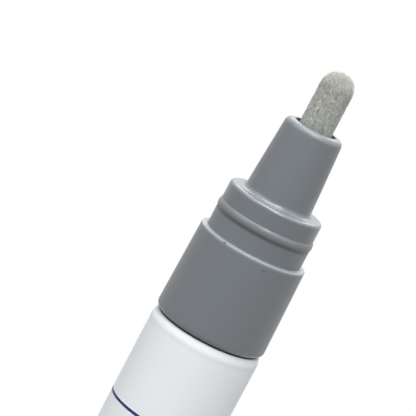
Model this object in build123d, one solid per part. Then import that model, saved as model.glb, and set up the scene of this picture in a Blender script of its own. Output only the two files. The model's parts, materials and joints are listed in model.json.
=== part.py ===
from build123d import *
from math import cos, pi, radians, sin, sqrt, tan
import os

# A pump-action paint marker without its cap, standing on its base, tip up.
# Millimetres and degrees. The origin is the middle of the base, +Z runs to the tip.

# Barrel: an impact-extruded aluminium can
barrel_diameter = 15.0
barrel_length = 98.0
barrel_wall = 0.45
base_thickness = 1.1
base_edge_round = 1.3
base_recess_depth = 0.4
foot_width = 1.4
foot_slope = 0.8
shoulder_width = 1.0
shoulder_height = 1.5
shoulder_land = 0.05
neck_root_round = 0.3
neck_rim_round = 0.15

# Snap ring rolled into the can's neck, and its groove in the collar
snap_height = 4.6
snap_width = 2.0
snap_rise = 0.25
snap_clearance = 0.03

# Collar of the front section
collar_length = 12.2
collar_overhang = 0.04
collar_draft = 1.4
collar_bottom_round = 0.7
collar_top_round = 0.25
collar_lead_in = 0.15
skirt_clearance = 0.05
web_thickness = 1.3

# Cap seat, with its snap bead
seat_length = 6.4
seat_wall = 1.2
seat_step = 0.115
seat_root_round = 0.12
seat_edge_round = 0.45
seat_edge_share = 0.4
ledge_width = 0.75
bead_height = 3.2
bead_width = 1.32
bead_rise = 0.215

# Nose
nose_length = 10.4
nose_draft = 3.55
nose_tip_wall = 1.1
nose_tip_round = 0.85
nose_root_round = 0.65
nose_root_share = 0.5
nose_floor = 1.4
mouth_gap = 0.6
mouth_round = 0.05
mouth_depth = 2.6

# Guide ribs in the nose, which hold the nib on centre
rib_count = 6
rib_width = 0.8
rib_lead_in = 0.4
nib_clearance = 0.05

# Nib
nib_diameter = 4.36
nib_length = 24.0
nib_reach = 7.7
nib_dome = 2.35
nib_rear_chamfer = 0.4

# Pump action
press_travel = 1.8
press_spare = 0.5

# Valve housing
flange_thickness = 1.2
flange_clearance = 0.08
gasket_thickness = 0.8
gasket_width = 0.75
spigot_clearance = 0.05
spigot_end_gap = 0.3
spigot_round = 0.3
core_floor = 1.2
core_wall_share = 0.34
core_round_share = 0.3
socket_clearance = 0.25
socket_lead_in = 0.4
housing_clearance = 0.5
housing_wall = 1.0
port_clearance = 0.3
seat_web = 1.6
lip_width = 0.5
lip_height = 0.4
window_count = 4
window_width = 1.6
window_length = 3.6

# Valve stem and its seal
rod_diameter = 2.6
flute_count = 4
flute_diameter = 1.1
seal_thickness = 0.9
seal_margin = 0.45
seal_clearance = 0.03
stem_flange_thickness = 1.0
stem_flange_margin = 0.2
pin_diameter = 2.0
pin_end_inset = 0.4
pin_chamfer = 0.3
pin_clearance = 0.08

# Valve spring
spring_wire = 0.45
spring_inner_diameter = 3.6
spring_length = 7.6
spring_turns = 5
spring_end_turns = 0.75
spring_seat_gap = 0.03

# Spring retainer
retainer_thickness = 1.8
retainer_clearance = 0.03
retainer_shelf = 0.3
retainer_edge_round = 0.25
boss_height = 0.9
boss_clearance = 0.2
boss_round = 0.15
port_count = 6
port_margin = 0.275

# Mixing ball
ball_diameter = 6.35
ball_rest_gap = 0.03

# One overrun serves every cut, and every piece that is fused reaches this far into its carrier
overrun = 0.4

# Radii
barrel_radius = barrel_diameter / 2
neck_radius = barrel_radius - shoulder_width - shoulder_land
neck_bore = neck_radius - barrel_wall
skirt_bore = neck_radius + skirt_clearance
collar_bottom_radius = barrel_radius + collar_overhang
collar_top_radius = collar_bottom_radius - collar_length * tan(radians(collar_draft))
seat_lower_radius = collar_top_radius - ledge_width
seat_upper_radius = seat_lower_radius - seat_step
chamber_radius = seat_upper_radius - seat_wall
nib_radius = nib_diameter / 2
mouth_radius = nib_radius + mouth_gap
nose_tip_radius = mouth_radius + nose_tip_wall
nose_root_radius = nose_tip_radius + nose_length * tan(radians(nose_draft))
rod_radius = rod_diameter / 2
pin_radius = pin_diameter / 2
port_radius = rod_radius + port_clearance
lip_radius = port_radius + lip_width
seal_radius = lip_radius + seal_margin
stem_flange_radius = seal_radius + stem_flange_margin
spring_radius = (spring_inner_diameter + spring_wire) / 2
housing_radius = neck_bore - housing_clearance
retainer_bore = housing_radius - housing_wall
spring_chamber_radius = retainer_bore - retainer_shelf
spigot_radius = chamber_radius - spigot_clearance

# Heights, from the can's shoulder up to the tip
shoulder_z = barrel_length
collar_top_z = shoulder_z + collar_length
seat_top_z = collar_top_z + seat_length
nose_top_z = seat_top_z + nose_length
tip_z = nose_top_z + nib_reach
web_z = collar_top_z - web_thickness
flange_z = web_z - flange_thickness
neck_top_z = flange_z - gasket_thickness
snap_z = shoulder_z + snap_height
chamber_top_z = seat_top_z - nose_floor

# Heights of the valve, from the nib's rear end down
nib_rear_z = tip_z - nib_length
socket_floor_z = nib_rear_z - press_travel - press_spare
valve_seat_z = socket_floor_z - seat_web
seal_floor_z = valve_seat_z - seal_thickness
spring_top_z = seal_floor_z - stem_flange_thickness
retainer_top_z = spring_top_z - spring_length
retainer_bottom_z = retainer_top_z - retainer_thickness
pin_end_z = retainer_bottom_z + pin_end_inset


def turned(corners, crown=()):
    """Turn an outline of (radius, height, corner rounding) about the axis; the edges of a crown may close it."""
    points = [(radius, height) for radius, height, rounding in corners]
    roundings = [rounding for radius, height, rounding in corners]
    if crown:
        sides = FilletPolyline(*points, radius=roundings[1:-1])
    else:
        sides = FilletPolyline(*points, radius=roundings, close=True)
    return revolve(Plane.XZ * make_face([sides, *crown]), Axis.Z)


def ring(root_radius, rise, height, width):
    """A ring with an arched outer face, which reaches one overrun in behind its root."""
    low = height - width / 2
    high = height + width / 2
    back = root_radius - overrun
    crown = ThreePointArc((root_radius, low), (root_radius + rise, height), (root_radius, high))
    rest = Polyline((root_radius, high), (back, high), (back, low), (root_radius, low))
    return revolve(Plane.XZ * make_face([crown, rest]), Axis.Z)


def around(count, shape):
    """Copies of a shape, evenly spaced about the axis."""
    return [place * shape for place in PolarLocations(0, count)]


def biarc(start, start_way, end, end_way):
    """Two arcs that leave start and reach end along the given directions."""
    span = end - start
    ways = start_way + end_way
    bend = 2 * (1 - start_way.dot(end_way))
    reach = (sqrt(span.dot(ways) ** 2 + bend * span.dot(span)) - span.dot(ways)) / bend
    middle = (start + end + (start_way - end_way) * reach) / 2
    first = TangentArc(start, middle, tangent=start_way)
    return [first, TangentArc(middle, end, tangent=first % 1)]


def make_barrel():
    foot_inner = barrel_radius - base_edge_round - foot_width
    inner_radius = barrel_radius - barrel_wall
    inner_round = max(base_edge_round - barrel_wall, barrel_wall)
    shoulder_inner_z = shoulder_z - barrel_wall
    shoulder_foot_z = shoulder_z - shoulder_height
    shoulder_top_radius = neck_radius + shoulder_land
    shoulder = biarc(
        Vector(barrel_radius, shoulder_foot_z), Vector(0, 1), Vector(shoulder_top_radius, shoulder_z), Vector(-1, 0)
    )
    can = turned([
        (shoulder_top_radius, shoulder_z, 0),
        (neck_radius, shoulder_z, 0),
        (neck_radius, neck_top_z, neck_rim_round),
        (neck_bore, neck_top_z, neck_rim_round),
        (neck_bore, shoulder_inner_z, neck_root_round),
        (inner_radius, shoulder_inner_z, shoulder_width - barrel_wall),
        (inner_radius, base_thickness, inner_round),
        (0, base_thickness, 0),
        (0, base_recess_depth, 0),
        (foot_inner - foot_slope, base_recess_depth, base_recess_depth),
        (foot_inner, 0, base_recess_depth / 2),
        (barrel_radius, 0, base_edge_round),
        (barrel_radius, shoulder_foot_z, 0),
    ], crown=shoulder)
    can += ring(neck_radius, snap_rise, snap_z, snap_width)
    return can - ring(neck_bore, snap_rise, snap_z, snap_width)


def make_front_section():
    face_width = seat_upper_radius - nose_root_radius
    edge_round = min(seat_edge_round, face_width * seat_edge_share)
    root_round = min(nose_root_round, face_width * nose_root_share)
    body = turned([
        (skirt_bore + collar_lead_in, shoulder_z, 0),
        (collar_bottom_radius, shoulder_z, collar_bottom_round),
        (collar_top_radius, collar_top_z, collar_top_round),
        (seat_lower_radius, collar_top_z, seat_root_round),
        (seat_lower_radius, collar_top_z + bead_height, 0),
        (seat_upper_radius, collar_top_z + bead_height, 0),
        (seat_upper_radius, seat_top_z, edge_round),
        (nose_root_radius, seat_top_z, root_round),
        (nose_tip_radius, nose_top_z, nose_tip_round),
        (mouth_radius, nose_top_z, mouth_round),
        (mouth_radius, chamber_top_z, 0),
        (chamber_radius, chamber_top_z, spigot_end_gap),
        (chamber_radius, web_z, 0),
        (skirt_bore, web_z, 0),
        (skirt_bore, shoulder_z + collar_lead_in, 0),
    ])
    body += ring(seat_upper_radius, bead_rise, collar_top_z + bead_height, bead_width)
    body -= ring(skirt_bore, snap_rise, snap_z, snap_width + snap_clearance * 2)
    return body + around(rib_count, make_guide_rib())


def make_guide_rib():
    rib_radius = nib_radius + nib_clearance
    root_radius = mouth_radius + overrun
    top = nose_top_z - mouth_depth
    outline = Polyline(
        (rib_radius, chamber_top_z),
        (root_radius, chamber_top_z),
        (root_radius, top),
        (mouth_radius, top),
        (rib_radius, top - rib_lead_in),
        close=True,
    )
    return extrude(Plane.XZ * make_face(outline), rib_width / 2, both=True)


def make_nib():
    dome_z = tip_z - nib_dome
    dome = biarc(Vector(nib_radius, dome_z), Vector(0, 1), Vector(0, tip_z), Vector(-1, 0))
    sides = Polyline(
        (0, tip_z),
        (0, nib_rear_z),
        (nib_radius - nib_rear_chamfer, nib_rear_z),
        (nib_radius, nib_rear_z + nib_rear_chamfer),
        (nib_radius, dome_z),
    )
    return revolve(Plane.XZ * make_face([*dome, sides]), Axis.Z)


def make_valve_housing():
    flange_radius = skirt_bore - flange_clearance
    socket_radius = nib_radius + socket_clearance
    spigot_top_z = chamber_top_z - spigot_end_gap
    ceiling_z = valve_seat_z + lip_height
    core_floor_z = socket_floor_z + core_floor
    core_wall = (spigot_radius - socket_radius) * core_wall_share
    core_round = core_wall * core_round_share
    housing = turned([
        (retainer_bore, retainer_bottom_z, 0),
        (housing_radius, retainer_bottom_z, spigot_round),
        (housing_radius, flange_z, 0),
        (flange_radius, flange_z, 0),
        (flange_radius, web_z, 0),
        (spigot_radius, web_z, 0),
        (spigot_radius, spigot_top_z, spigot_round),
        (spigot_radius - core_wall, spigot_top_z, 0),
        (spigot_radius - core_wall, core_floor_z, core_round),
        (socket_radius + core_wall, core_floor_z, core_round),
        (socket_radius + core_wall, spigot_top_z, 0),
        (socket_radius + socket_lead_in, spigot_top_z, 0),
        (socket_radius, spigot_top_z - socket_lead_in, 0),
        (socket_radius, socket_floor_z, 0),
        (port_radius, socket_floor_z, 0),
        (port_radius, valve_seat_z, 0),
        (lip_radius, valve_seat_z, 0),
        (lip_radius, ceiling_z, 0),
        (spring_chamber_radius, ceiling_z, lip_height),
        (spring_chamber_radius, retainer_top_z, 0),
        (retainer_bore, retainer_top_z, 0),
    ])
    window_z = retainer_top_z + spring_length / 2
    window_plane = Plane((0, 0, window_z), x_dir=(0, 0, 1), z_dir=(1, 0, 0))
    window = extrude(window_plane * SlotOverall(window_length, window_width), housing_radius + overrun)
    return housing - around(window_count, window)


def make_neck_gasket():
    return turned([
        (neck_radius - gasket_width, neck_top_z, 0),
        (neck_radius, neck_top_z, 0),
        (neck_radius, flange_z, 0),
        (neck_radius - gasket_width, flange_z, 0),
    ])


def make_valve_stem():
    stem = turned([
        (0, pin_end_z, 0),
        (pin_radius - pin_chamfer, pin_end_z, 0),
        (pin_radius, pin_end_z + pin_chamfer, 0),
        (pin_radius, spring_top_z, 0),
        (stem_flange_radius, spring_top_z, stem_flange_margin),
        (stem_flange_radius, seal_floor_z, stem_flange_margin),
        (rod_radius, seal_floor_z, 0),
        (rod_radius, nib_rear_z, 0),
        (0, nib_rear_z, 0),
    ])
    flute_length = nib_rear_z - valve_seat_z + overrun
    flute = Cylinder(flute_diameter / 2, flute_length, align=(Align.CENTER, Align.CENTER, Align.MIN))
    return stem - around(flute_count, Pos(rod_radius, 0, valve_seat_z) * flute)


def make_stem_seal():
    bore = rod_radius + seal_clearance
    return turned([
        (bore, seal_floor_z, 0),
        (seal_radius, seal_floor_z, 0),
        (seal_radius, valve_seat_z, 0),
        (bore, valve_seat_z, 0),
    ])


def spring_height(turn):
    """Height of the wire's middle after so many turns, with flat end turns that ease into the pitch."""
    low = retainer_top_z + spring_seat_gap + spring_wire / 2
    high = spring_top_z - spring_seat_gap - spring_wire / 2
    pitch = (high - low) / (spring_turns - spring_end_turns)

    def eased(from_end):
        part = min(from_end / spring_end_turns, 1)
        return pitch * spring_end_turns * part ** 2 / 2

    if turn < spring_end_turns:
        return low + eased(turn)
    if turn > spring_turns - spring_end_turns:
        return high - eased(spring_turns - turn)
    return low + pitch * (turn - spring_end_turns / 2)


def spring_point(turn):
    angle = turn * 2 * pi
    return Vector(spring_radius * cos(angle), spring_radius * sin(angle), spring_height(turn))


def spring_direction(turn):
    turn_share = 1 / 1024
    return (spring_point(turn + turn_share) - spring_point(turn - turn_share)).normalized()


def make_valve_spring():
    path = []
    quarters = round(spring_turns * 4)
    for quarter in range(quarters):
        start = quarter / 4
        end = start + 1 / 4
        path += biarc(spring_point(start), spring_direction(start), spring_point(end), spring_direction(end))
    wire = Circle(spring_wire / 2)
    start_plane = Plane(spring_point(0), z_dir=spring_direction(0))
    return sweep(start_plane * wire, path=Wire(path))


def spring_least_gap():
    """The least clear gap between one turn of the spring and the next."""
    steps = 48
    last = round((spring_turns - 1) * steps)
    nearest = min(
        (spring_point(step / steps + other / steps) - spring_point(step / steps)).length
        for step in range(last + 1)
        for other in range(round(steps * 3 / 4), round(steps * 5 / 4))
        if step + other <= spring_turns * steps
    )
    return nearest - spring_wire


def make_spring_retainer():
    hole = pin_radius + pin_clearance
    boss_radius = spring_inner_diameter / 2 - boss_clearance
    outer = retainer_bore - retainer_clearance
    plug = turned([
        (hole, retainer_bottom_z, 0),
        (outer, retainer_bottom_z, retainer_edge_round),
        (outer, retainer_top_z, 0),
        (boss_radius, retainer_top_z, 0),
        (boss_radius, retainer_top_z + boss_height, boss_round),
        (hole, retainer_top_z + boss_height, 0),
    ])
    spring_edge = spring_radius + spring_wire / 2
    port_circle = (spring_chamber_radius + spring_edge) / 2
    drain_radius = (spring_chamber_radius - spring_edge) / 2 - port_margin
    port = Cylinder(drain_radius, retainer_thickness + overrun * 2)
    middle_z = (retainer_top_z + retainer_bottom_z) / 2
    return plug - around(port_count, Pos(port_circle, 0, middle_z) * port)


def make_mixing_ball():
    radius = ball_diameter / 2
    return Pos(0, 0, base_thickness + ball_rest_gap + radius) * Sphere(radius)


pieces = {
    "barrel": make_barrel(),
    "front_section": make_front_section(),
    "nib": make_nib(),
    "valve_housing": make_valve_housing(),
    "valve_stem": make_valve_stem(),
    "stem_seal": make_stem_seal(),
    "valve_spring": make_valve_spring(),
    "spring_retainer": make_spring_retainer(),
    "neck_gasket": make_neck_gasket(),
    "mixing_ball": make_mixing_ball(),
}

os.makedirs("parts", exist_ok=True)
for name, piece in pieces.items():
    export_step(piece, f"parts/{name}.step")
print(f"least gap between the spring's turns: {spring_least_gap():.2f} mm")
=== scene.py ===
"""An uncapped pump-action paint marker: its visible pieces, their finish, and a plain studio."""

import json
import math

import bmesh
import bpy
from bpy.props import FloatProperty, FloatVectorProperty, IntProperty, PointerProperty
from mathutils import Matrix, Vector


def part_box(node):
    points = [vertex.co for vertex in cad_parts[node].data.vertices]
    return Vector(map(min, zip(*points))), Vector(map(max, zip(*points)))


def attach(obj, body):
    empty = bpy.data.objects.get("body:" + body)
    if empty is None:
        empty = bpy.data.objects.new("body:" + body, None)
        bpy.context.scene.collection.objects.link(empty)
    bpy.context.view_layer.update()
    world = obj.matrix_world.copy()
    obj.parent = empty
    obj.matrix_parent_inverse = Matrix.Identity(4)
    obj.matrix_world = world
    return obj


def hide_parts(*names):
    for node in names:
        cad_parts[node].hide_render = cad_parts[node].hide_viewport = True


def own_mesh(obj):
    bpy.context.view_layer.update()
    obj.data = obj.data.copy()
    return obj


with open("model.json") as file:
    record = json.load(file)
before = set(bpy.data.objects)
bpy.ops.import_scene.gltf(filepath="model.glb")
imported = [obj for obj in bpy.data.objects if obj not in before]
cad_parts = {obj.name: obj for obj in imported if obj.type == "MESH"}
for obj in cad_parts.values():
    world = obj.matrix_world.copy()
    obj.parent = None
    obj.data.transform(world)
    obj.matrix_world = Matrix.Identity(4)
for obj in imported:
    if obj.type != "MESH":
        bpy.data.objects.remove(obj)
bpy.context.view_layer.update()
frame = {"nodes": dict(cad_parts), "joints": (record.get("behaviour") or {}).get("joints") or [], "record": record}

bl_info = {
    "name": "Paint Marker",
    "version": (1, 0, 0),
    "blender": (4, 5, 0),
    "location": "3D View > Sidebar > Marker",
    "description": "Makes the visible pieces of an uncapped paint marker around its packed frame",
    "category": "Object",
}

mm = 0.001
full_turn = 2 * math.pi

# Places and sizes that the frame gives
barrel_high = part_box("barrel")[1]
front_low, front_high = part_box("front_section")
nib_low, nib_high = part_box("nib")
spring_low, spring_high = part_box("valve_spring")
mounts = {mount["name"]: mount for mount in frame["record"]["mounts"]}
can_radius = mounts["barrel_grip"]["dims"]["r_mm"] * mm
cap_seat_radius = mounts["cap_seat"]["dims"]["r_mm"] * mm
joints = {joint["name"]: joint for joint in frame["joints"]}
press_travel = joints["nib_press"]["range_m"][1]


def linear(hex_code):
    """The linear RGBA colour of an sRGB hex code."""
    shares = [int(hex_code[i:i + 2], 16) / 255 for i in (1, 3, 5)]
    return (*[s / 12.92 if s <= 0.04045 else ((s + 0.055) / 1.055) ** 2.4 for s in shares], 1.0)


def length(name, description, default):
    """A size that a user can change, in metres."""
    return FloatProperty(name=name, description=description, default=default, unit="LENGTH", precision=5)


def angle(name, description, degrees):
    """An angle that a user can change, given in degrees."""
    return FloatProperty(name=name, description=description, default=math.radians(degrees), subtype="ANGLE")


def colour(name, description, hex_code):
    """A colour that a user can change."""
    return FloatVectorProperty(
        name=name, description=description, default=linear(hex_code), size=4, min=0, max=1, subtype="COLOR"
    )


def factor(name, description, default):
    """A strength from nought to one that a user can change."""
    return FloatProperty(name=name, description=description, default=default, min=0, max=1, subtype="FACTOR")


def number(name, description, default):
    """A number of like things, three or more, that a user can change."""
    return IntProperty(name=name, description=description, default=default, min=3)


def power(name, description, watts):
    """The power of a lamp, which a user can change."""
    return FloatProperty(name=name, description=description, default=watts, min=0, unit="POWER")


class BarrelSettings(bpy.types.PropertyGroup):
    """Sizes and colours of the enamelled can."""

    radius: length("Radius", "Outside radius of the can", can_radius)
    shoulder: length("Shoulder height", "Height of the can's shoulder", front_low.z)
    shoulder_width: length("Shoulder width", "How far in the shoulder's curve runs", 1.0 * mm)
    shoulder_height: length("Shoulder rise", "How high the shoulder's curve is", 1.5 * mm)
    neck_radius: length("Neck radius", "Outside radius of the neck inside the collar", 6.45 * mm)
    wall: length("Wall", "Thickness of the can's wall", 0.45 * mm)
    base_round: length("Base round", "Rounding of the base's edge", 1.3 * mm)
    base_thickness: length("Base thickness", "Thickness of the can's floor", 1.1 * mm)
    recess: length("Base recess", "Depth of the hollow under the base", 0.4 * mm)
    foot_width: length("Foot width", "Width of the ring that the can stands on", 1.4 * mm)
    foot_slope: length("Foot slope", "Width of the slope from the foot to the recess", 0.8 * mm)
    neck_round: length("Neck round", "Rounding of the neck's rim", 0.15 * mm)
    snap_height: length("Snap ring height", "Height of the rolled snap ring above the shoulder", 4.6 * mm)
    snap_width: length("Snap ring width", "Width of the rolled snap ring", 2.0 * mm)
    snap_rise: length("Snap ring rise", "How far the snap ring stands out", 0.25 * mm)
    stripe_drop: length("Stripe drop", "Drop from the shoulder to the middle of the printed ring", 12.35 * mm)
    stripe_width: length("Stripe width", "Width of the printed ring", 0.38 * mm)
    # Painted shade: the shoulder's curve is greyed so that it shows less bright under the lamps
    shoulder_shade_start: length("Dulled start", "Drop from the shoulder to where its greying starts", 1.9 * mm)
    shoulder_shade_end: length("Dulled end", "Drop from the shoulder to where it is greyed in full", 1.2 * mm)
    shoulder_shade_strength: factor("Dulled strength", "How much handling greys the shoulder", 0.3)
    # Painted shadow: the seam under the collar is darkened near black
    seam_start: length("Seam start", "Drop from the shoulder to where the seam's dirt starts", 0.25 * mm)
    seam_end: length("Seam end", "Drop from the shoulder to where the seam is dark in full", 0.11 * mm)
    enamel: colour("Enamel", "Colour of the white enamel", "#F0F3F6")
    enamel_shade: colour("Enamel shade", "Colour of the enamel where handling dulls it", "#ECF0F4")
    # Painted shade for the shoulder's curve
    shoulder_shade: colour("Dulled shoulder", "Colour that handling gives the shoulder", "#B9BEC2")
    # Painted shadow for the seam under the collar
    seam: colour("Seam", "Colour of the dust and old paint in the seam under the collar", "#2B2D30")
    stripe: colour("Stripe", "Colour of the printed ring", "#00205E")

    def painted_shade(self):
        """Start and end below the shoulder, colour and strength of each band of painted shade."""
        return [
            (self.shoulder_shade_start, self.shoulder_shade_end, self.shoulder_shade, self.shoulder_shade_strength),
            (self.seam_start, self.seam_end, self.seam, 1.0),
        ]


class FrontSettings(bpy.types.PropertyGroup):
    """Sizes and colours of the moulded front section."""

    collar_length: length("Collar length", "Length of the collar above the can", 12.2 * mm)
    collar_radius: length("Collar radius", "Radius of the collar's foot, before it is rounded", 7.54 * mm)
    collar_draft: angle("Collar draft", "Taper of the collar", 1.4)
    collar_bottom_round: length("Collar foot round", "Rounding of the collar's foot", 0.7 * mm)
    collar_top_round: length("Collar top round", "Rounding of the collar's top edge", 0.14 * mm)
    lead_in: length("Skirt lead-in", "Chamfer at the mouth of the skirt", 0.15 * mm)
    skirt_bore: length("Skirt bore", "Radius of the skirt's bore over the can's neck", 6.5 * mm)
    web: length("Web", "Thickness of the web over the skirt", 1.3 * mm)
    ledge: length("Ledge", "Width of the ledge that stops a cap", 0.75 * mm)
    seat_radius: length("Seat radius", "Radius of the cap seat above its bead", cap_seat_radius)
    seat_length: length("Seat length", "Length of the cap seat", 6.4 * mm)
    seat_wall: length("Seat wall", "Wall of the cap seat", 1.2 * mm)
    seat_root_round: length("Seat root round", "Rounding where the seat leaves the ledge", 0.12 * mm)
    seat_edge_round: length("Seat edge round", "Rounding of the seat's top edge", 0.45 * mm)
    bead_height: length("Bead height", "Height of the snap bead above the ledge", 3.2 * mm)
    bead_width: length("Bead width", "Width of the snap bead", 1.32 * mm)
    bead_rise: length("Bead rise", "How far the bead stands out", 0.215 * mm)
    nose_draft: angle("Nose draft", "Taper of the nose", 3.55)
    nose_wall: length("Nose wall", "Wall at the nose's mouth", 1.1 * mm)
    nose_tip_round: length("Nose tip round", "Rounding of the nose's rim", 0.85 * mm)
    nose_root_round: length("Nose root round", "Fillet at the foot of the nose", 0.65 * mm)
    nose_floor: length("Nose floor", "Thickness under the seat's top face", 1.4 * mm)
    mouth_gap: length("Mouth gap", "Gap between the nib and the nose's mouth", 0.6 * mm)
    mouth_round: length("Mouth round", "Rounding inside the mouth", 0.05 * mm)
    mouth_depth: length("Mouth depth", "Depth of the mouth above the guide ribs", 2.6 * mm)
    chamber_round: length("Chamber round", "Rounding at the top of the chamber behind the nose", 0.3 * mm)
    rib_count: number("Guide ribs", "Ribs that hold the nib on centre", 6)
    rib_width: length("Rib width", "Width of a guide rib", 0.8 * mm)
    rib_lead_in: length("Rib lead-in", "Height of the slope on a guide rib", 0.4 * mm)
    rib_gap: length("Rib gap", "Clearance between a guide rib and the nib", 0.05 * mm)
    plastic: colour("Plastic", "Colour of the grey moulding", "#6F7478")
    plastic_shade: colour("Plastic shade", "Colour of the moulding's flow clouds", "#6B7074")
    # Painted highlight: a pale ring along the ledge's edge
    ledge_highlight: colour("Rubbed plastic", "Colour of the ledge, which caps have rubbed pale", "#838A8E")
    # Painted shade in the crease under the bead, and the dirt in the nick and the scuff
    grime_and_crease_shade: colour("Grime", "Colour of the dirt in the crease under the bead and in the marks", "#35383B")
    # Place and half width of the painted highlight on the ledge
    highlight_drop: length("Rub drop", "How far below the ledge the rubbed ring has its middle", 0.1 * mm)
    highlight_reach: length("Rub reach", "Half the rubbed ring's width", 0.3 * mm)
    # Place, half width and strength of the painted shade in the crease under the bead
    crease_drop: length("Crease drop", "How far below the bead's middle the crease lies", 0.475 * mm)
    crease_reach: length("Crease reach", "Half the width of the dirt in the crease", 0.38 * mm)
    crease_strength: factor("Crease strength", "How dark the dirt in the crease is", 0.8)
    nick_turn: angle("Nick turn", "Where the collar's top edge is nicked, from the front", -29)
    nick_width: length("Nick width", "Half the nick's width along the edge", 0.4 * mm)
    nick_height: length("Nick height", "Half the nick's height", 0.25 * mm)
    nick_strength: factor("Nick strength", "How dark the nick is", 0.9)
    scuff_turn: angle("Scuff turn", "Where the collar is scuffed, from the front", 19.1)
    scuff_drop: length("Scuff drop", "How far below the collar's top edge the scuff is", 0.82 * mm)
    scuff_width: length("Scuff width", "Half the scuff's width", 0.6 * mm)
    scuff_height: length("Scuff height", "Half the scuff's height", 0.2 * mm)
    scuff_strength: factor("Scuff strength", "How dark the scuff is", 0.42)

    def collar_top(self):
        """Radius of the collar's top edge."""
        return self.collar_radius - self.collar_length * math.tan(self.collar_draft)

    def ledge_height(self):
        """Height of the ledge at the collar's top."""
        return front_low.z + self.collar_length

    def bands(self):
        """Height, half width, colour and strength of the ring of painted highlight and the ring of painted shade.
        """
        highlight_level = self.ledge_height() - self.highlight_drop
        crease = self.ledge_height() + self.bead_height - self.crease_drop
        return [
            (highlight_level, self.highlight_reach, self.ledge_highlight, 1.0),
            (crease, self.crease_reach, self.grime_and_crease_shade, self.crease_strength),
        ]

    def marks(self):
        """Turn, drop, half width, half height and strength of each mark on the collar."""
        return [
            (self.nick_turn, 0, self.nick_width, self.nick_height, self.nick_strength),
            (self.scuff_turn, self.scuff_drop, self.scuff_width, self.scuff_height, self.scuff_strength),
        ]


class NibSettings(bpy.types.PropertyGroup):
    """Sizes and colours of the pressed-fibre nib."""

    dome: length("Dome", "Length of the rounded end", 2.35 * mm)
    rear_chamfer: length("Rear chamfer", "Chamfer at the rear end", 0.4 * mm)
    nap: length("Nap", "Depth of the felt's unevenness", 0.03 * mm)
    fibre_length: length("Fibre length", "Length of a loose surface fibre", 0.45 * mm)
    fibre_width: length("Fibre width", "Thickness of a loose surface fibre", 0.03 * mm)
    fibre_arch: length("Fibre arch", "How far a loose fibre bows out from the felt", 0.015 * mm)
    fibre_density: FloatProperty(
        name="Fibre density", description="Loose fibres on a square metre", default=1.6e7
    )
    bare_tip: length("Bare tip", "Height at the very tip without loose fibres", 0.36 * mm)
    dark: colour("Dark fibre", "Colour of the felt's hollows", "#9EA19A")
    light: colour("Light fibre", "Colour of the felt's lit fibres", "#D3D5CE")
    # Painted shade: the tip is darkened against the brighter light on the dome
    painted_tip_shade: colour("Soiled felt", "Colour of the tip, which paint has soaked", "#7E807B")
    # Where the painted shade on the tip starts and ends, and how strong it is
    tip_shade_start: length("Soak start", "Drop from the tip to where the paint starts to show", 3 * mm)
    tip_shade_end: length("Soak end", "Drop from the tip to where the paint shows most", 0.2 * mm)
    tip_shade_strength: factor("Soak strength", "How much the paint soils the tip", 0.9)


class ValveSettings(bpy.types.PropertyGroup):
    """Sizes and colours of the valve's pieces inside the marker."""

    wire: length("Wire", "Thickness of the valve spring's wire", 0.45 * mm)
    turns: number("Turns", "Turns of the valve spring", 5)
    end_turns: FloatProperty(
        name="End turns", description="Turns that ease into the pitch at each end", default=0.75
    )
    steel: colour("Steel", "Colour of the spring wire", "#C3C5C8")
    ball: colour("Ball", "Colour of the mixing ball", "#C9CBCD")
    natural: colour("Natural plastic", "Colour of the unpigmented mouldings", "#E3E3DB")
    natural_shade: colour("Natural shade", "Colour of the unpigmented mouldings' flow clouds", "#D8D8CE")
    acetal: colour("Acetal", "Colour of the valve stem", "#EFEFEA")
    acetal_shade: colour("Acetal shade", "Colour of the valve stem's flow clouds", "#E6E6E0")
    rubber: colour("Rubber", "Colour of the seal and gasket", "#191A1A")
    bloom: colour("Bloom", "Colour of the faint bloom on the seal and gasket", "#2A2B2B")


class StageSettings(bpy.types.PropertyGroup):
    """Camera, light and floor."""

    lens: FloatProperty(
        name="Lens", description="Focal length on a 36 mm sensor", default=181.7, unit="CAMERA"
    )
    distance: length("Distance", "From the camera to the aim point's plane", 262.9 * mm)
    aim: length("Aim height", "Height on the marker's axis that the camera is aimed level with", 111.78 * mm)
    aside: length("Aside", "How far the camera stands to the left of the marker's axis", 7.27 * mm)
    elevation: angle("Elevation", "How far the camera looks down", 10.94)
    roll: angle("Roll", "How far the camera is turned about its line of sight", 27.59)
    floor_radius: length("Floor radius", "Radius of the floor", 0.9)
    fade_start: length("Fade start", "Distance at which the floor starts to fade into the backdrop", 0.1)
    fade_end: length("Fade end", "Distance at which the floor has become the backdrop", 0.3)
    floor_colour: colour("Floor", "Colour of the floor", "#F4F4F4")
    floor_bounce: colour("Floor bounce", "Colour of the light that the floor throws back up", "#707070")
    ambient: FloatProperty(name="Ambient", description="Strength of the light from all round", default=0.16)
    top_power: power("Top lamp", "Power of the lamp overhead", 6.7)
    front_power: power("Front lamp", "Power of the lamp above the front", 2.5)
    left_power: power("Left lamp", "Power of the lamp on the left", 1.8)
    right_power: power("Right lamp", "Power of the lamp on the right", 0.75)
    back_power: power("Back lamp", "Power of the lamp behind the marker", 4.2)

    def lamps(self):
        """Name, place from the aim point, width and power of each square lamp."""
        return [
            ("top_lamp", (-0.06, -0.08, 0.69), 0.45, self.top_power),
            ("front_lamp", (0.1, -0.47, 0.51), 0.2, self.front_power),
            ("left_lamp", (-0.5, -0.29, 0.4), 0.5, self.left_power),
            ("right_lamp", (0.52, -0.25, 0.4), 0.5, self.right_power),
            ("back_lamp", (0, 0.46, 0.53), 0.6, self.back_power),
        ]


def add_node(tree, kind, inputs=None, **settings):
    """Add a node, set it up, and give its inputs values or links from other nodes' sockets."""
    node = tree.nodes.new(kind)
    for name, value in settings.items():
        setattr(node, name, value)
    for socket, value in (inputs or {}).items():
        if isinstance(value, bpy.types.NodeSocket):
            tree.links.new(value, node.inputs[socket])
        else:
            node.inputs[socket].default_value = value
    return node


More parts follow.
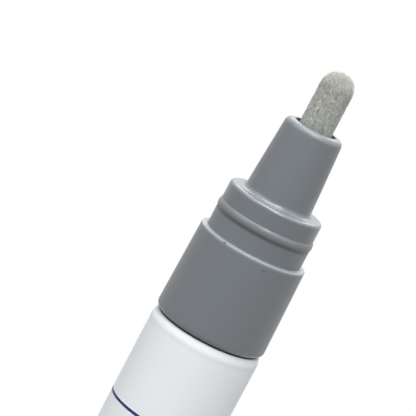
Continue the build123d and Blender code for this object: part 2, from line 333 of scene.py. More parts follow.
def maths(tree, operation, *values):
    """The result of one sum on numbers or sockets."""
    return add_node(tree, "ShaderNodeMath", dict(enumerate(values)), operation=operation).outputs[0]


def ramp(tree, value, start=0.0, end=1.0, low=0.0, high=1.0, ease="LINEAR"):
    """A value that runs from low to high while another runs from start to end."""
    inputs = {"Value": value, "From Min": start, "From Max": end, "To Min": low, "To Max": high}
    return add_node(tree, "ShaderNodeMapRange", inputs, interpolation_type=ease).outputs[0]


def mix(tree, share, first, second):
    """A colour that goes from a first to a second as its share goes from nought to one."""
    # The node's sockets for colours are its inputs 6 and 7 and its output 2
    inputs = {0: share, 6: first, 7: second}
    return add_node(tree, "ShaderNodeMix", inputs, data_type="RGBA").outputs[2]


def noise(tree, place, grain, detail):
    """Soft noise with a grain of a given size."""
    inputs = {"Vector": place, "Scale": 1 / grain, "Detail": detail}
    return add_node(tree, "ShaderNodeTexNoise", inputs).outputs[0]


def streaks(tree, place, across, along):
    """Noise that is drawn out lengthwise, with a grain of a given width and length."""
    scale = (1 / across, 1 / across, 1 / along)
    drawn = add_node(tree, "ShaderNodeMapping", {"Vector": place, "Scale": scale})
    return noise(tree, drawn.outputs[0], grain=1.0, detail=3.0)


def relief(tree, unevenness, strength, depth):
    """The normal of a surface that is uneven to a given depth."""
    inputs = {"Height": unevenness, "Strength": strength, "Distance": depth}
    return add_node(tree, "ShaderNodeBump", inputs).outputs[0]


def height_of(tree, place):
    """How high a place is."""
    return add_node(tree, "ShaderNodeSeparateXYZ", {0: place}).outputs["Z"]


def off_level(tree, height, level):
    """How far a height is from a level, up or down."""
    return maths(tree, "ABSOLUTE", maths(tree, "SUBTRACT", height, level))


def size_of(tree, vector):
    """How long a vector is."""
    return add_node(tree, "ShaderNodeVectorMath", {0: vector}, operation="LENGTH").outputs["Value"]


def new_material(name):
    """A bare material, its node tree and the socket that gives the place on the object."""
    material = bpy.data.materials.new(name)
    material.use_nodes = True
    tree = material.node_tree
    tree.nodes.clear()
    return material, tree, add_node(tree, "ShaderNodeTexCoord").outputs["Object"]


def coat(tree, inputs):
    """Give a material its surface."""
    shader = add_node(tree, "ShaderNodeBsdfPrincipled", inputs)
    add_node(tree, "ShaderNodeOutputMaterial", {"Surface": shader.outputs[0]})


def white_enamel(settings):
    """Stoved enamel on aluminium: white, with a soft shine, faint orange peel and one printed ring."""
    material, tree, place = new_material("white_stoved_enamel")
    # Orange peel is about 1 mm across
    peel = noise(tree, place, grain=1.0 * mm, detail=2.0)
    bump = relief(tree, peel, strength=0.06, depth=0.02 * mm)
    # Handling marks: soft patches, about 6 mm across, where the shine is duller
    patches = noise(tree, place, grain=6 * mm, detail=4.0)
    rough = ramp(tree, patches, start=0.35, end=0.7, low=0.5, high=0.6)
    tint = mix(tree, patches, settings.enamel, settings.enamel_shade)
    # The printed ring, with an edge that wavers by a few hundredths of a millimetre
    height = height_of(tree, place)
    waver = noise(tree, place, grain=0.5 * mm, detail=1.0)
    wavered = maths(tree, "MULTIPLY_ADD", waver, 0.04 * mm, height)
    middle = settings.shoulder - settings.stripe_drop
    ring = maths(tree, "COMPARE", wavered, middle, settings.stripe_width / 2)
    paint = mix(tree, ring, tint, settings.stripe)
    # Painted shade greys the shoulder's curve, and a painted shadow darkens the seam under the collar
    for start, end, painted_shade, share in settings.painted_shade():
        depth = ramp(tree, height, settings.shoulder - start, settings.shoulder - end, high=share)
        paint = mix(tree, depth, paint, painted_shade)
    coat(tree, {"Base Color": paint, "Roughness": rough, "Normal": bump, "IOR": 1.42})
    return material


def drawn_metal(name, tint, grain, smooth, dull):
    """Bare metal: bright, and duller in the fine marks that its tool left."""
    material, tree, place = new_material(name)
    marks = noise(tree, place, grain, detail=3.0)
    rough = ramp(tree, marks, low=smooth, high=dull)
    bump = relief(tree, marks, strength=0.15, depth=0.01 * mm)
    coat(tree, {"Base Color": tint, "Metallic": 1.0, "Roughness": rough, "Normal": bump})
    return material


def clouded_polymer(name, tint, shade, patch, smooth, dull, glow=0.0):
    """Moulded polymer: clouded from one colour to a second by its flow, and duller where it is clouded."""
    material, tree, place = new_material(name)
    clouds = noise(tree, place, patch, detail=4.0)
    coat(tree, {
        "Base Color": mix(tree, clouds, tint, shade),
        "Roughness": ramp(tree, clouds, low=smooth, high=dull),
        "Normal": relief(tree, clouds, strength=0.1, depth=0.02 * mm),
        "Subsurface Weight": glow,
        "Subsurface Radius": (0.6 * mm, 0.6 * mm, 0.5 * mm),
        "Subsurface Scale": 1.0,
    })
    return material


def grey_polypropylene(settings):
    """Moulded polypropylene: satin, evenly grey, with faint flow clouding, glossy at the foot of the nose."""
    material, tree, place = new_material("grey_moulded_polypropylene")
    # Flow clouding runs lengthwise, about 3 mm wide
    clouds = streaks(tree, place, across=3 * mm, along=9 * mm)
    tint = mix(tree, clouds, settings.plastic, settings.plastic_shade)
    # A painted highlight makes the ledge pale, and painted shade darkens the crease under the bead
    height = height_of(tree, place)
    for level, reach, shade, share in settings.bands():
        depth = ramp(tree, off_level(tree, height, level), reach, reach / 4, high=share)
        tint = mix(tree, depth, tint, shade)
    # A nick in the collar's top edge and a scuff below it, each at a turn from the front, a height and a size
    for turn, drop, width, tall, share in settings.marks():
        radius = settings.collar_top() + drop * math.tan(settings.collar_draft)
        middle = (radius * math.sin(turn), -radius * math.cos(turn), settings.ledge_height() - drop)
        aside = add_node(tree, "ShaderNodeVectorMath", {0: place, 1: middle}, operation="SUBTRACT")
        stretch = {0: aside.outputs[0], 1: (1 / width, 1 / width, 1 / tall)}
        spread = add_node(tree, "ShaderNodeVectorMath", stretch, operation="MULTIPLY")
        depth = ramp(tree, size_of(tree, spread.outputs[0]), start=1.0, end=0.2, high=share)
        tint = mix(tree, depth, tint, settings.grime_and_crease_shade)
    # The mould's fine spark finish, drawn at 0.25 mm so that it shows
    spark = noise(tree, place, grain=0.25 * mm, detail=2.0)
    bump = relief(tree, spark, strength=0.08, depth=0.01 * mm)
    # Handling and the cap have worn the rim, the bead and the walls duller than the foot of the nose
    away = off_level(tree, height, settings.ledge_height() + settings.seat_length)
    rough = ramp(tree, away, start=0.3 * mm, end=3.5 * mm, low=0.28, high=0.42, ease="SMOOTHSTEP")
    coat(tree, {"Base Color": tint, "Roughness": rough, "Normal": bump, "IOR": 1.49})
    return material


def pressed_fibre(settings):
    """Pressed polyester fibre: matt, mottled by bundles of fibre that run roughly lengthwise."""
    material, tree, place = new_material("pressed_polyester_fibre")
    # Fibre bundles are about 0.24 mm wide and 0.42 mm long
    bundles = streaks(tree, place, across=0.24 * mm, along=0.42 * mm)
    mottle = ramp(tree, bundles, start=0.3, end=0.7)
    felt = mix(tree, mottle, settings.dark, settings.light)
    # Painted shade darkens the working end, where the lamp overhead lights the dome most
    start = nib_high.z - settings.tip_shade_start
    end = nib_high.z - settings.tip_shade_end
    tip_shade_share = ramp(tree, height_of(tree, place), start, end, high=settings.tip_shade_strength)
    # Single fibres point every way, so that the felt catches light from any side; drawn at 0.06 mm
    fuzz = noise(tree, place, grain=0.06 * mm, detail=1.0)
    coat(tree, {
        "Base Color": mix(tree, tip_shade_share, felt, settings.painted_tip_shade),
        "Roughness": 0.95,
        "Specular IOR Level": 0.2,
        "Normal": relief(tree, fuzz, strength=1.0, depth=0.12 * mm),
        "Subsurface Weight": 0.9,
        "Subsurface Radius": (1.6 * mm, 1.6 * mm, 1.6 * mm),
        "Subsurface Scale": 1.0,
    })
    return material


def new_tree(name, inputs):
    """A geometry tree that takes geometry, named inputs and a material: the tree and what it is given."""
    tree = bpy.data.node_groups.new(name, "GeometryNodeTree")
    for label, kind in {"Geometry": "Geometry", **inputs, "Material": "Material"}.items():
        tree.interface.new_socket(label, in_out="INPUT", socket_type=f"NodeSocket{kind}")
    tree.interface.new_socket("Geometry", in_out="OUTPUT", socket_type="NodeSocketGeometry")
    return tree, add_node(tree, "NodeGroupInput").outputs


def end_tree(tree, given, geometry):
    """Finish a geometry tree with real geometry in its material."""
    real = add_node(tree, "GeometryNodeRealizeInstances", {"Geometry": geometry}).outputs[0]
    dressed = add_node(tree, "GeometryNodeSetMaterial", {"Geometry": real, "Material": given["Material"]})
    add_node(tree, "NodeGroupOutput", {"Geometry": dressed.outputs[0]})
    return tree


def chance(tree, least, most, seed):
    """A number that is drawn at random for each point."""
    # The node's sockets for plain numbers are its inputs 2 and 3 and its output 1
    inputs = {2: least, 3: most, "Seed": seed}
    return add_node(tree, "FunctionNodeRandomValue", inputs, data_type="FLOAT").outputs[1]


def lathe_tree():
    """Turn an outline about the axis: each of its points becomes a ring of the mesh."""
    tree, given = new_tree("lathe", {"Segments": "Int"})
    outline = given["Geometry"]
    points = add_node(tree, "GeometryNodeAttributeDomainSize", {"Geometry": outline}).outputs["Point Count"]
    columns = maths(tree, "ADD", given["Segments"], 1.0)
    grid = add_node(tree, "GeometryNodeMeshGrid", {"Vertices X": columns, "Vertices Y": points})
    index = add_node(tree, "GeometryNodeInputIndex").outputs[0]
    row = maths(tree, "MODULO", index, points)
    column = maths(tree, "FLOOR", maths(tree, "DIVIDE", index, points))
    step = maths(tree, "DIVIDE", full_turn, given["Segments"])
    turn = maths(tree, "MULTIPLY", column, step)
    position = add_node(tree, "GeometryNodeInputPosition").outputs[0]
    point = add_node(
        tree, "GeometryNodeSampleIndex", {"Geometry": outline, "Value": position, "Index": row},
        data_type="FLOAT_VECTOR", domain="POINT",
    )
    turned = add_node(
        tree, "ShaderNodeVectorRotate", {"Vector": point.outputs[0], "Angle": turn}, rotation_type="Z_AXIS"
    )
    placed = add_node(
        tree, "GeometryNodeSetPosition", {"Geometry": grid.outputs[0], "Position": turned.outputs[0]}
    )
    closed = add_node(
        tree, "GeometryNodeMergeByDistance", {"Geometry": placed.outputs[0], "Distance": 0.0001 * mm}
    )
    return end_tree(tree, given, closed.outputs[0])


def ring_tree():
    """Copies of a piece, evenly spaced about the axis."""
    tree, given = new_tree("ring_of_copies", {"Count": "Int"})
    points = add_node(tree, "GeometryNodePoints", {"Count": given["Count"]})
    index = add_node(tree, "GeometryNodeInputIndex").outputs[0]
    step = maths(tree, "DIVIDE", full_turn, given["Count"])
    facing = add_node(tree, "ShaderNodeCombineXYZ", {"Z": maths(tree, "MULTIPLY", index, step)})
    copies = add_node(
        tree, "GeometryNodeInstanceOnPoints",
        {"Points": points.outputs[0], "Instance": given["Geometry"], "Rotation": facing.outputs[0]},
    )
    return end_tree(tree, given, copies.outputs[0])


def wire_tree():
    """A round wire along a path."""
    tree, given = new_tree("wire", {"Radius": "Float", "Sides": "Int"})
    path = add_node(tree, "GeometryNodeMeshToCurve", {"Mesh": given["Geometry"]})
    section = add_node(
        tree, "GeometryNodeCurvePrimitiveCircle", {"Resolution": given["Sides"], "Radius": given["Radius"]}
    )
    wire = add_node(
        tree, "GeometryNodeCurveToMesh",
        {"Curve": path.outputs[0], "Profile Curve": section.outputs[0], "Fill Caps": True},
    )
    return end_tree(tree, given, wire.outputs[0])


def nap_tree():
    """Push a felt surface in along its normals by fine noise."""
    tree, given = new_tree("felt_nap", {"Depth": "Float", "Grain": "Float"})
    position = add_node(tree, "GeometryNodeInputPosition").outputs[0]
    scale = maths(tree, "DIVIDE", 1.0, given["Grain"])
    fluff = add_node(tree, "ShaderNodeTexNoise", {"Vector": position, "Scale": scale, "Detail": 2.0})
    push = maths(tree, "MULTIPLY", maths(tree, "SUBTRACT", fluff.outputs[0], 1.0), given["Depth"])
    normal = add_node(tree, "GeometryNodeInputNormal").outputs[0]
    offset = add_node(tree, "ShaderNodeVectorMath", {0: normal, "Scale": push}, operation="SCALE")
    napped = add_node(
        tree, "GeometryNodeSetPosition", {"Geometry": given["Geometry"], "Offset": offset.outputs[0]}
    )
    return end_tree(tree, given, napped.outputs[0])


def fibre_tree():
    """Lay loose fibres on a felt surface between two heights, roughly lengthwise."""
    tree, given = new_tree(
        "loose_fibres", {"Low": "Float", "High": "Float", "Density": "Float", "Fibre": "Object"}
    )
    position = add_node(tree, "GeometryNodeInputPosition").outputs[0]
    height = height_of(tree, position)
    above = maths(tree, "GREATER_THAN", height, given["Low"])
    below = maths(tree, "LESS_THAN", height, given["High"])
    between = maths(tree, "MULTIPLY", above, below)
    spots = add_node(
        tree, "GeometryNodeDistributePointsOnFaces",
        {"Mesh": given["Geometry"], "Selection": between, "Density": given["Density"], "Seed": 4},
    )
    lengthwise = add_node(tree, "FunctionNodeAlignRotationToVector", {"Vector": (0, 0, 1)}, axis="X")
    flat = add_node(
        tree, "FunctionNodeAlignRotationToVector",
        {"Rotation": lengthwise.outputs[0], "Vector": spots.outputs["Normal"]}, axis="Z", pivot_axis="X",
    )
    stray = chance(tree, least=-0.7, most=0.7, seed=5)
    slant = add_node(tree, "FunctionNodeAxisAngleToRotation", {"Axis": (0, 0, 1), "Angle": stray})
    facing = add_node(
        tree, "FunctionNodeRotateRotation",
        {"Rotation": flat.outputs[0], "Rotate By": slant.outputs[0]}, rotation_space="LOCAL",
    )
    share = chance(tree, least=0.5, most=1.0, seed=6)
    fibre = add_node(tree, "GeometryNodeObjectInfo", {"Object": given["Fibre"]}).outputs["Geometry"]
    laid = add_node(
        tree, "GeometryNodeInstanceOnPoints",
        {
            "Points": spots.outputs["Points"], "Instance": fibre,
            "Rotation": facing.outputs[0], "Scale": share,
        },
    )
    return end_tree(tree, given, laid.outputs[0])


def grow(source, tree, inputs):
    """The plain mesh that a geometry tree makes from an object."""
    modifier = source.modifiers.new(tree.name, "NODES")
    modifier.node_group = tree
    for item in tree.interface.items_tree:
        if item.in_out == "INPUT" and item.name in inputs:
            modifier[item.identifier] = inputs[item.name]
    graph = bpy.context.evaluated_depsgraph_get()
    mesh = bpy.data.meshes.new_from_object(source.evaluated_get(graph), depsgraph=graph)
    source.modifiers.remove(modifier)
    return mesh


def link(name, data):
    """Put a mesh, a lamp or the camera into the scene as an object at the origin."""
    piece = bpy.data.objects.new(name, data)
    bpy.context.scene.collection.objects.link(piece)
    return piece


def finish_mesh(mesh, name, sharp=35):
    """Name a mesh, face it outwards, and shade it smooth up to a sharp angle in degrees."""
    mesh.name = name
    work = bmesh.new()
    work.from_mesh(mesh)
    bmesh.ops.recalc_face_normals(work, faces=work.faces)
    work.to_mesh(mesh)
    work.free()
    mesh.shade_smooth()
    mesh.set_sharp_from_angle(angle=math.radians(sharp))
    return mesh


def rounded(corners, closed, spacing, arc_step=math.radians(7)):
    """Points of an outline of (radius, height, rounding): corners become arcs, long straights are divided."""
    count = len(corners)
    points = []
    for i, (radius, height, rounding) in enumerate(corners):
        corner = Vector((radius, height))
        if not rounding:
            points.append(corner)
            continue
        back = (Vector(corners[i - 1][:2]) - corner).normalized()
        ahead = (Vector(corners[(i + 1) % count][:2]) - corner).normalized()
        half = back.angle(ahead) / 2
        middle = corner + (back + ahead).normalized() * rounding / math.sin(half)
        start = corner + back * rounding / math.tan(half) - middle
        sweep = math.copysign(math.pi - 2 * half, back.cross(ahead) * -1)
        steps = max(3, math.ceil(abs(sweep) / arc_step))
        points += [middle + Matrix.Rotation(sweep * step / steps, 2) @ start for step in range(steps + 1)]
    if closed:
        points.append(points[0])
    filled = [points[0]]
    for before, after in zip(points, points[1:]):
        pieces = max(1, math.ceil((after - before).length / spacing))
        filled += [before.lerp(after, piece / pieces) for piece in range(1, pieces + 1)]
    return filled


def arch(radius, low, high, rise, start_rise=0.0, steps=14):
    """Corners of a shallow arc that stands out from a radius between two heights, or starts part-way out."""
    half = (high - low) / 2
    bend = (half * half + rise * rise) / (2 * rise)
    centre = radius + rise - bend
    first = -math.acos((bend - rise + start_rise) / bend)
    last = math.acos((bend - rise) / bend)
    turns = [first + (last - first) * step / steps for step in range(steps + 1)]
    side = math.copysign(1, half)
    return [(centre + bend * math.cos(t), (low + high) / 2 + side * bend * math.sin(t), 0) for t in turns]


def two_arcs(start, end, steps=24):
    """Corners of two arcs in one curve, which leaves its start straight up and meets its end straight in."""
    width = start[0] - end[0]
    height = end[1] - start[1]
    reach = (math.sqrt((width + height) ** 2 + 2 * (width ** 2 + height ** 2)) - width - height) / 2
    join = Vector((width + reach, height + reach)) / 2
    flank = ((width - join.x) ** 2 + join.y ** 2) / (width - join.x) / 2
    crown = (join.x ** 2 + (height - join.y) ** 2) / (height - join.y) / 2
    flank_turns = [math.asin(join.y / flank) * step / steps for step in range(steps + 1)]
    crown_turns = [math.asin(join.x / crown) * (1 - step / steps) for step in range(1, steps + 1)]
    return [
        *[(start[0] - flank + flank * math.cos(t), start[1] + flank * math.sin(t), 0) for t in flank_turns],
        *[(end[0] + crown * math.sin(t), end[1] - crown + crown * math.cos(t), 0) for t in crown_turns],
    ]


def grow_form(name, points, edges, faces, tree, inputs):
    """The plain mesh that a geometry tree makes from a form, which isn't kept."""
    form = bpy.data.meshes.new(name)
    form.from_pydata(points, edges, faces)
    source = link(name, form)
    mesh = grow(source, tree, inputs)
    bpy.data.objects.remove(source)
    bpy.data.meshes.remove(form)
    return mesh


def chain(points):
    """The edges that join points in a row."""
    return [(i, i + 1) for i in range(len(points) - 1)]


def turned_mesh(name, points, segments, material, sharp=35):
    """The mesh of an outline turned about the axis."""
    outline = [(p.x, 0, p.y) for p in points]
    inputs = {"Segments": segments, "Material": material}
    mesh = grow_form(name + "_outline", outline, chain(outline), [], lathe_tree(), inputs)
    return finish_mesh(mesh, name, sharp)


class MARKER_OT_barrel(bpy.types.Operator):
    """Make the enamelled can with its printed ring"""

    bl_idname = "marker.barrel"
    bl_label = "Barrel"

    def execute(self, context):
        size = context.scene.marker_barrel
        foot = size.radius - size.base_round - size.foot_width
        bore = size.neck_radius - size.wall
        inside = size.radius - size.wall
        shoulder_top = size.radius - size.shoulder_width
        snap = size.shoulder + size.snap_height
        half = size.snap_width / 2
        corners = [
            (0, size.recess, 0),
            (foot - size.foot_slope, size.recess, size.recess),
            (foot, 0, size.recess / 2),
            (size.radius, 0, size.base_round),
            *two_arcs((size.radius, size.shoulder - size.shoulder_height), (shoulder_top, size.shoulder)),
            (size.neck_radius, size.shoulder, 0),
            *arch(size.neck_radius, snap - half, snap + half, size.snap_rise),
            (size.neck_radius, barrel_high.z, size.neck_round),
            (bore, barrel_high.z, size.neck_round),
            *arch(bore, snap + half, snap - half, size.snap_rise),
            (bore, size.shoulder - size.wall, size.neck_round),
            (inside, size.shoulder - size.wall, size.shoulder_width - size.wall),
            (inside, size.base_thickness, size.base_round - size.wall),
            (0, size.base_thickness, 0),
        ]
        points = rounded(corners, closed=False, spacing=1.2 * mm)
        mesh = turned_mesh("barrel", points, segments=160, material=white_enamel(size))
        piece = link("enamelled_barrel", mesh)
        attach(piece, "holder")
        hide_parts("barrel")
        return {"FINISHED"}


class MARKER_OT_front_section(bpy.types.Operator):
    """Make the moulded front section with the guide ribs in its nose"""

    bl_idname = "marker.front_section"
    bl_label = "Front section"

    def execute(self, context):
        size = context.scene.marker_front
        can = context.scene.marker_barrel
        foot = front_low.z
        ledge = size.ledge_height()
        seat_top = ledge + size.seat_length
        bead = ledge + size.bead_height
        half = size.bead_width / 2
        collar_top_radius = size.collar_top()
        seat_foot_radius = collar_top_radius - size.ledge
        flare = seat_foot_radius - size.seat_radius
        chamber_radius = size.seat_radius - size.seat_wall
        chamber_top = seat_top - size.nose_floor
        mouth = nib_high.x + size.mouth_gap
        rim = mouth + size.nose_wall
        nose_foot = rim + (front_high.z - seat_top) * math.tan(size.nose_draft)
        snap = foot + can.snap_height
        corners = [
            (size.skirt_bore + size.lead_in, foot, 0),
            (size.collar_radius, foot, size.collar_bottom_round),
            (collar_top_radius, ledge, size.collar_top_round),
            (seat_foot_radius, ledge, size.seat_root_round),
            *arch(size.seat_radius, bead - half, bead + half, size.bead_rise, flare),
            (size.seat_radius, seat_top, size.seat_edge_round),
            (nose_foot, seat_top, size.nose_root_round),
            (rim, front_high.z, size.nose_tip_round),
            (mouth, front_high.z, size.mouth_round),
            (mouth, chamber_top, 0),
            (chamber_radius, chamber_top, size.chamber_round),
            (chamber_radius, ledge - size.web, 0),
            (size.skirt_bore, ledge - size.web, 0),
            *arch(size.skirt_bore, snap + can.snap_width / 2, snap - can.snap_width / 2, can.snap_rise),
            (size.skirt_bore, foot + size.lead_in, 0),
        ]
        plastic = grey_polypropylene(size)
        points = rounded(corners, closed=True, spacing=0.5 * mm)
        mesh = turned_mesh("front_section", points, segments=192, material=plastic, sharp=18)
        piece = link("moulded_front_section", mesh)
        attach(piece, "holder")
        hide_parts("front_section")
        self.add_ribs(size, mouth, chamber_top, plastic)
        return {"FINISHED"}

    def add_ribs(self, size, mouth, chamber_top, plastic):
        """Guide ribs inside the nose, drawn as one rib that is copied round the axis."""
        top = front_high.z - size.mouth_depth
        edge = nib_high.x + size.rib_gap
        root = mouth + size.rib_gap
        outline = [
            (edge, chamber_top),
            (root, chamber_top),
            (root, top),
            (mouth, top),
            (edge, top - size.rib_lead_in),
        ]
        sides = [(r, side * size.rib_width / 2, z) for side in (-1, 1) for r, z in outline]
        count = len(outline)
        walls = [(i, (i + 1) % count, (i + 1) % count + count, i + count) for i in range(count)]
        faces = [tuple(range(count))[::-1], tuple(range(count, 2 * count)), *walls]
        inputs = {"Count": size.rib_count, "Material": plastic}
        mesh = grow_form("guide_rib", sides, [], faces, ring_tree(), inputs)
        piece = link("nose_guide_ribs", finish_mesh(mesh, "nose_guide_ribs"))
        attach(piece, "holder")


class MARKER_OT_nib(bpy.types.Operator):
    """Make the pressed-fibre nib and its loose fibres"""

    bl_idname = "marker.nib"
    bl_label = "Nib"

    def execute(self, context):
        size = context.scene.marker_nib
        felt = pressed_fibre(size)
        points = rounded(self.outline(size), closed=False, spacing=0.09 * mm)
        smooth = turned_mesh("nib_form", points, segments=144, material=felt)
        source = link("nib_form", smooth)
        mesh = grow(source, nap_tree(), {"Depth": size.nap, "Grain": 0.16 * mm, "Material": felt})
        piece = link("fibre_nib", finish_mesh(mesh, "fibre_nib", sharp=80))
        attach(piece, "nib")
        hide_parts("nib")
        self.add_fibres(context, size, source, felt)
        bpy.data.objects.remove(source)
        bpy.data.meshes.remove(smooth)
        return {"FINISHED"}

    def outline(self, size):
        """Corners of the nib's outline, from the axis behind to the tip."""
        return [
            (0, nib_low.z, 0),
            (nib_high.x - size.rear_chamfer, nib_low.z, 0),
            (nib_high.x, nib_low.z + size.rear_chamfer, 0),
            *two_arcs((nib_high.x, nib_high.z - size.dome), (0, nib_high.z)),
        ]

    def add_fibres(self, context, size, felt_form, felt):
        """Loose fibres on the end that shows, none so low that the guide ribs could catch it."""
        steps = 4
        sides = 3
        corners = []
        walls = []
        for step in range(steps + 1):
            along = step / steps
            middle = Vector(((along - 0.5) * size.fibre_length, 0, size.fibre_arch * 4 * along * (1 - along)))
            for side in range(sides):
                turn = full_turn * side / sides
                corners.append(middle + Vector((0, math.cos(turn), math.sin(turn))) * size.fibre_width / 2)
        for row in range(0, steps * sides, sides):
            ahead = row + sides
            for side in range(sides):
                beside = (side + 1) % sides
                walls.append((row + side, row + beside, ahead + beside, ahead + side))
        strand = bpy.data.meshes.new("fibre")
        strand.from_pydata(corners, [], walls)
        fibre = link("fibre", strand)
        front = context.scene.marker_front
        mesh = grow(felt_form, fibre_tree(), {
            "Low": front_high.z - front.mouth_depth + press_travel + size.fibre_length,
            "High": nib_high.z - size.bare_tip,
            "Density": size.fibre_density,
            "Fibre": fibre,
            "Material": felt,
        })
        bpy.data.objects.remove(fibre)
        bpy.data.meshes.remove(strand)
        piece = link("loose_fibres", finish_mesh(mesh, "loose_fibres", sharp=80))
        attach(piece, "nib")


class MARKER_OT_spring(bpy.types.Operator):
    """Make the valve spring"""

    bl_idname = "marker.spring"
    bl_label = "Valve spring"

    def execute(self, context):
        size = context.scene.marker_valve
        radius = spring_high.x - size.wire / 2
        low = spring_low.z + size.wire / 2
        high = spring_high.z - size.wire / 2
        pitch = (high - low) / (size.turns - size.end_turns)

        def height(turn):
            """Height of the wire's middle: the end turns lie flat and ease into the pitch."""
            start = min(turn / size.end_turns, 1)
            end = min((size.turns - turn) / size.end_turns, 1)
            run = pitch * (turn - size.end_turns / 2)
            return low + run + pitch * size.end_turns * ((1 - start) ** 2 - (1 - end) ** 2) / 2

        per_turn = 64
        turns = [step / per_turn for step in range(size.turns * per_turn + 1)]
        path = [
            (radius * math.cos(turn * full_turn), radius * math.sin(turn * full_turn), height(turn))
            for turn in turns
        ]
        # Hard-drawn stainless wire: bright, with short marks from the die
        steel = drawn_metal("stainless_spring_wire", size.steel, grain=0.2 * mm, smooth=0.18, dull=0.34)
        inputs = {"Radius": size.wire / 2, "Sides": 16, "Material": steel}
        mesh = grow_form("spring_path", path, chain(path), [], wire_tree(), inputs)
        piece = link("wound_spring", finish_mesh(mesh, "wound_spring", sharp=60))
        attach(piece, "holder")
        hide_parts("valve_spring")
        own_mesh(piece)
        return {"FINISHED"}


class MARKER_OT_valve(bpy.types.Operator):
    """Give the valve's pieces and the mixing ball their materials"""

    bl_idname = "marker.valve"
    bl_label = "Valve and ball"

    def execute(self, context):
        size = context.scene.marker_valve
        # Unpigmented polypropylene: milky, light glows a little way into it
        natural = clouded_polymer(
            "natural_polypropylene", size.natural, size.natural_shade,
            patch=3 * mm, smooth=0.35, dull=0.5, glow=0.5,
        )
        # Acetal: dense white, waxy shine
        acetal = clouded_polymer(
            "white_acetal", size.acetal, size.acetal_shade, patch=2 * mm, smooth=0.25, dull=0.36
        )
        # Nitrile rubber: near black, dull, with a faint grey bloom
        rubber = clouded_polymer(
            "black_nitrile_rubber", size.rubber, size.bloom, patch=0.6 * mm, smooth=0.5, dull=0.72
        )
        # Bearing steel: polished, with fine tumbling marks
        steel = drawn_metal("polished_bearing_steel", size.ball, grain=0.5 * mm, smooth=0.08, dull=0.2)
        dresses = {
            "valve_housing": natural,
            "spring_retainer": natural,
            "valve_stem": acetal,
            "stem_seal": rubber,
            "neck_gasket": rubber,
            "mixing_ball": steel,
        }
        for name, material in dresses.items():
            for slot in frame["nodes"][name].material_slots:
                slot.material = material
        return {"FINISHED"}


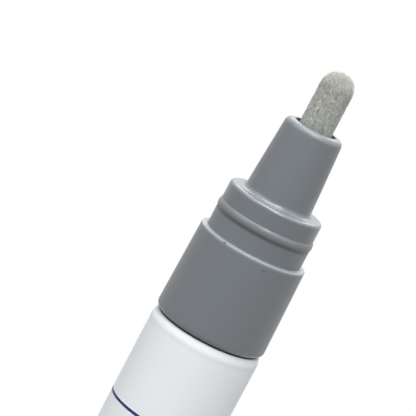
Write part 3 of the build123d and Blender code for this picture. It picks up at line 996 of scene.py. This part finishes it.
class MARKER_OT_stage(bpy.types.Operator):
    """Make the floor, the light and the camera"""

    bl_idname = "marker.stage"
    bl_label = "Stage"

    def execute(self, context):
        scene = context.scene
        size = scene.marker_stage
        scene.view_settings.view_transform = "Standard"
        self.add_floor(size)
        self.light_world(scene, size)
        aim = Vector((0, 0, size.aim))
        for name, place, width, watts in size.lamps():
            self.add_lamp(name, aim + Vector(place), aim, width, watts)
        self.add_camera(scene, size)
        return {"FINISHED"}

    def seen(self, tree):
        """One for rays that show the backdrop, straight or in a reflection, and nought for light."""
        path = add_node(tree, "ShaderNodeLightPath").outputs
        mirrored = maths(tree, "MAXIMUM", path["Is Camera Ray"], path["Is Glossy Ray"])
        return maths(tree, "MAXIMUM", mirrored, path["Is Transmission Ray"])

    def add_floor(self, size):
        """A pale floor that takes the marker's shadow and fades into the white backdrop."""
        material, tree, place = new_material("pale_studio_floor")
        seen = self.seen(tree)
        fade = ramp(tree, size_of(tree, place), size.fade_start, size.fade_end, ease="SMOOTHSTEP")
        share = maths(tree, "MULTIPLY", fade, seen)
        tint = mix(tree, seen, size.floor_bounce, size.floor_colour)
        paper = add_node(tree, "ShaderNodeBsdfDiffuse", {"Color": tint}).outputs[0]
        glow = add_node(tree, "ShaderNodeEmission", {"Strength": 1.0}).outputs[0]
        mixed = add_node(tree, "ShaderNodeMixShader", {0: share, 1: paper, 2: glow})
        add_node(tree, "ShaderNodeOutputMaterial", {"Surface": mixed.outputs[0]})
        mesh = bpy.data.meshes.new("floor")
        work = bmesh.new()
        bmesh.ops.create_circle(work, cap_ends=True, segments=96, radius=size.floor_radius)
        work.to_mesh(mesh)
        work.free()
        mesh.materials.append(material)
        link("floor", mesh)

    def light_world(self, scene, size):
        """A white backdrop that gives only a little light from all round."""
        world = bpy.data.worlds.new("studio")
        world.use_nodes = True
        tree = world.node_tree
        tree.nodes.clear()
        strength = ramp(tree, self.seen(tree), low=size.ambient)
        sky = add_node(tree, "ShaderNodeBackground", {"Color": linear("#FFFFFF"), "Strength": strength})
        add_node(tree, "ShaderNodeOutputWorld", {"Surface": sky.outputs[0]})
        scene.world = world

    def add_lamp(self, name, place, aim, width, watts):
        """A square lamp at a place, turned to the aim point."""
        lamp = bpy.data.lights.new(name, "AREA")
        lamp.size = width
        lamp.energy = watts
        holder = link(name, lamp)
        holder.location = place
        holder.rotation_euler = (aim - place).to_track_quat("-Z", "Y").to_euler()

    def add_camera(self, scene, size):
        """The camera, which looks down at the marker's front end and is rolled so that the marker leans."""
        camera = bpy.data.cameras.new("camera")
        camera.lens = size.lens
        camera.clip_start = 10 * mm
        forward = Vector((0, math.cos(size.elevation), -math.sin(size.elevation)))
        right = Vector((1, 0, 0))
        up = right.cross(forward)
        rolled_right = right * math.cos(size.roll) + up * math.sin(size.roll)
        rolled_up = up * math.cos(size.roll) - right * math.sin(size.roll)
        matrix = Matrix((rolled_right, rolled_up, -forward)).transposed().to_4x4()
        matrix.translation = Vector((-size.aside, 0, size.aim)) - forward * size.distance
        holder = link("camera", camera)
        holder.matrix_world = matrix
        scene.camera = holder


class MARKER_PT_panel(bpy.types.Panel):
    """The marker's pieces, in the order in which they are made"""

    bl_idname = "MARKER_PT_panel"
    bl_label = "Paint Marker"
    bl_space_type = "VIEW_3D"
    bl_region_type = "UI"
    bl_category = "Marker"

    def draw(self, context):
        """One button for each operator."""
        for operator in operators:
            self.layout.operator(operator.bl_idname)


setting_groups = {
    "marker_barrel": BarrelSettings,
    "marker_front": FrontSettings,
    "marker_nib": NibSettings,
    "marker_valve": ValveSettings,
    "marker_stage": StageSettings,
}
operators = [
    MARKER_OT_barrel,
    MARKER_OT_front_section,
    MARKER_OT_nib,
    MARKER_OT_spring,
    MARKER_OT_valve,
    MARKER_OT_stage,
]


def register():
    """Register the settings, the operators and the panel."""
    for name, group in setting_groups.items():
        bpy.utils.register_class(group)
        setattr(bpy.types.Scene, name, PointerProperty(type=group))
    for operator in operators:
        bpy.utils.register_class(operator)
    bpy.utils.register_class(MARKER_PT_panel)


def unregister():
    """Take back what register did."""
    bpy.utils.unregister_class(MARKER_PT_panel)
    for operator in reversed(operators):
        bpy.utils.unregister_class(operator)
    for name, group in reversed(setting_groups.items()):
        delattr(bpy.types.Scene, name)
        bpy.utils.unregister_class(group)


def main():
    """Make every piece and the stage."""
    register()
    bpy.ops.marker.barrel()
    bpy.ops.marker.front_section()
    bpy.ops.marker.nib()
    bpy.ops.marker.spring()
    bpy.ops.marker.valve()
    bpy.ops.marker.stage()


if __name__ == "__main__":
    main()
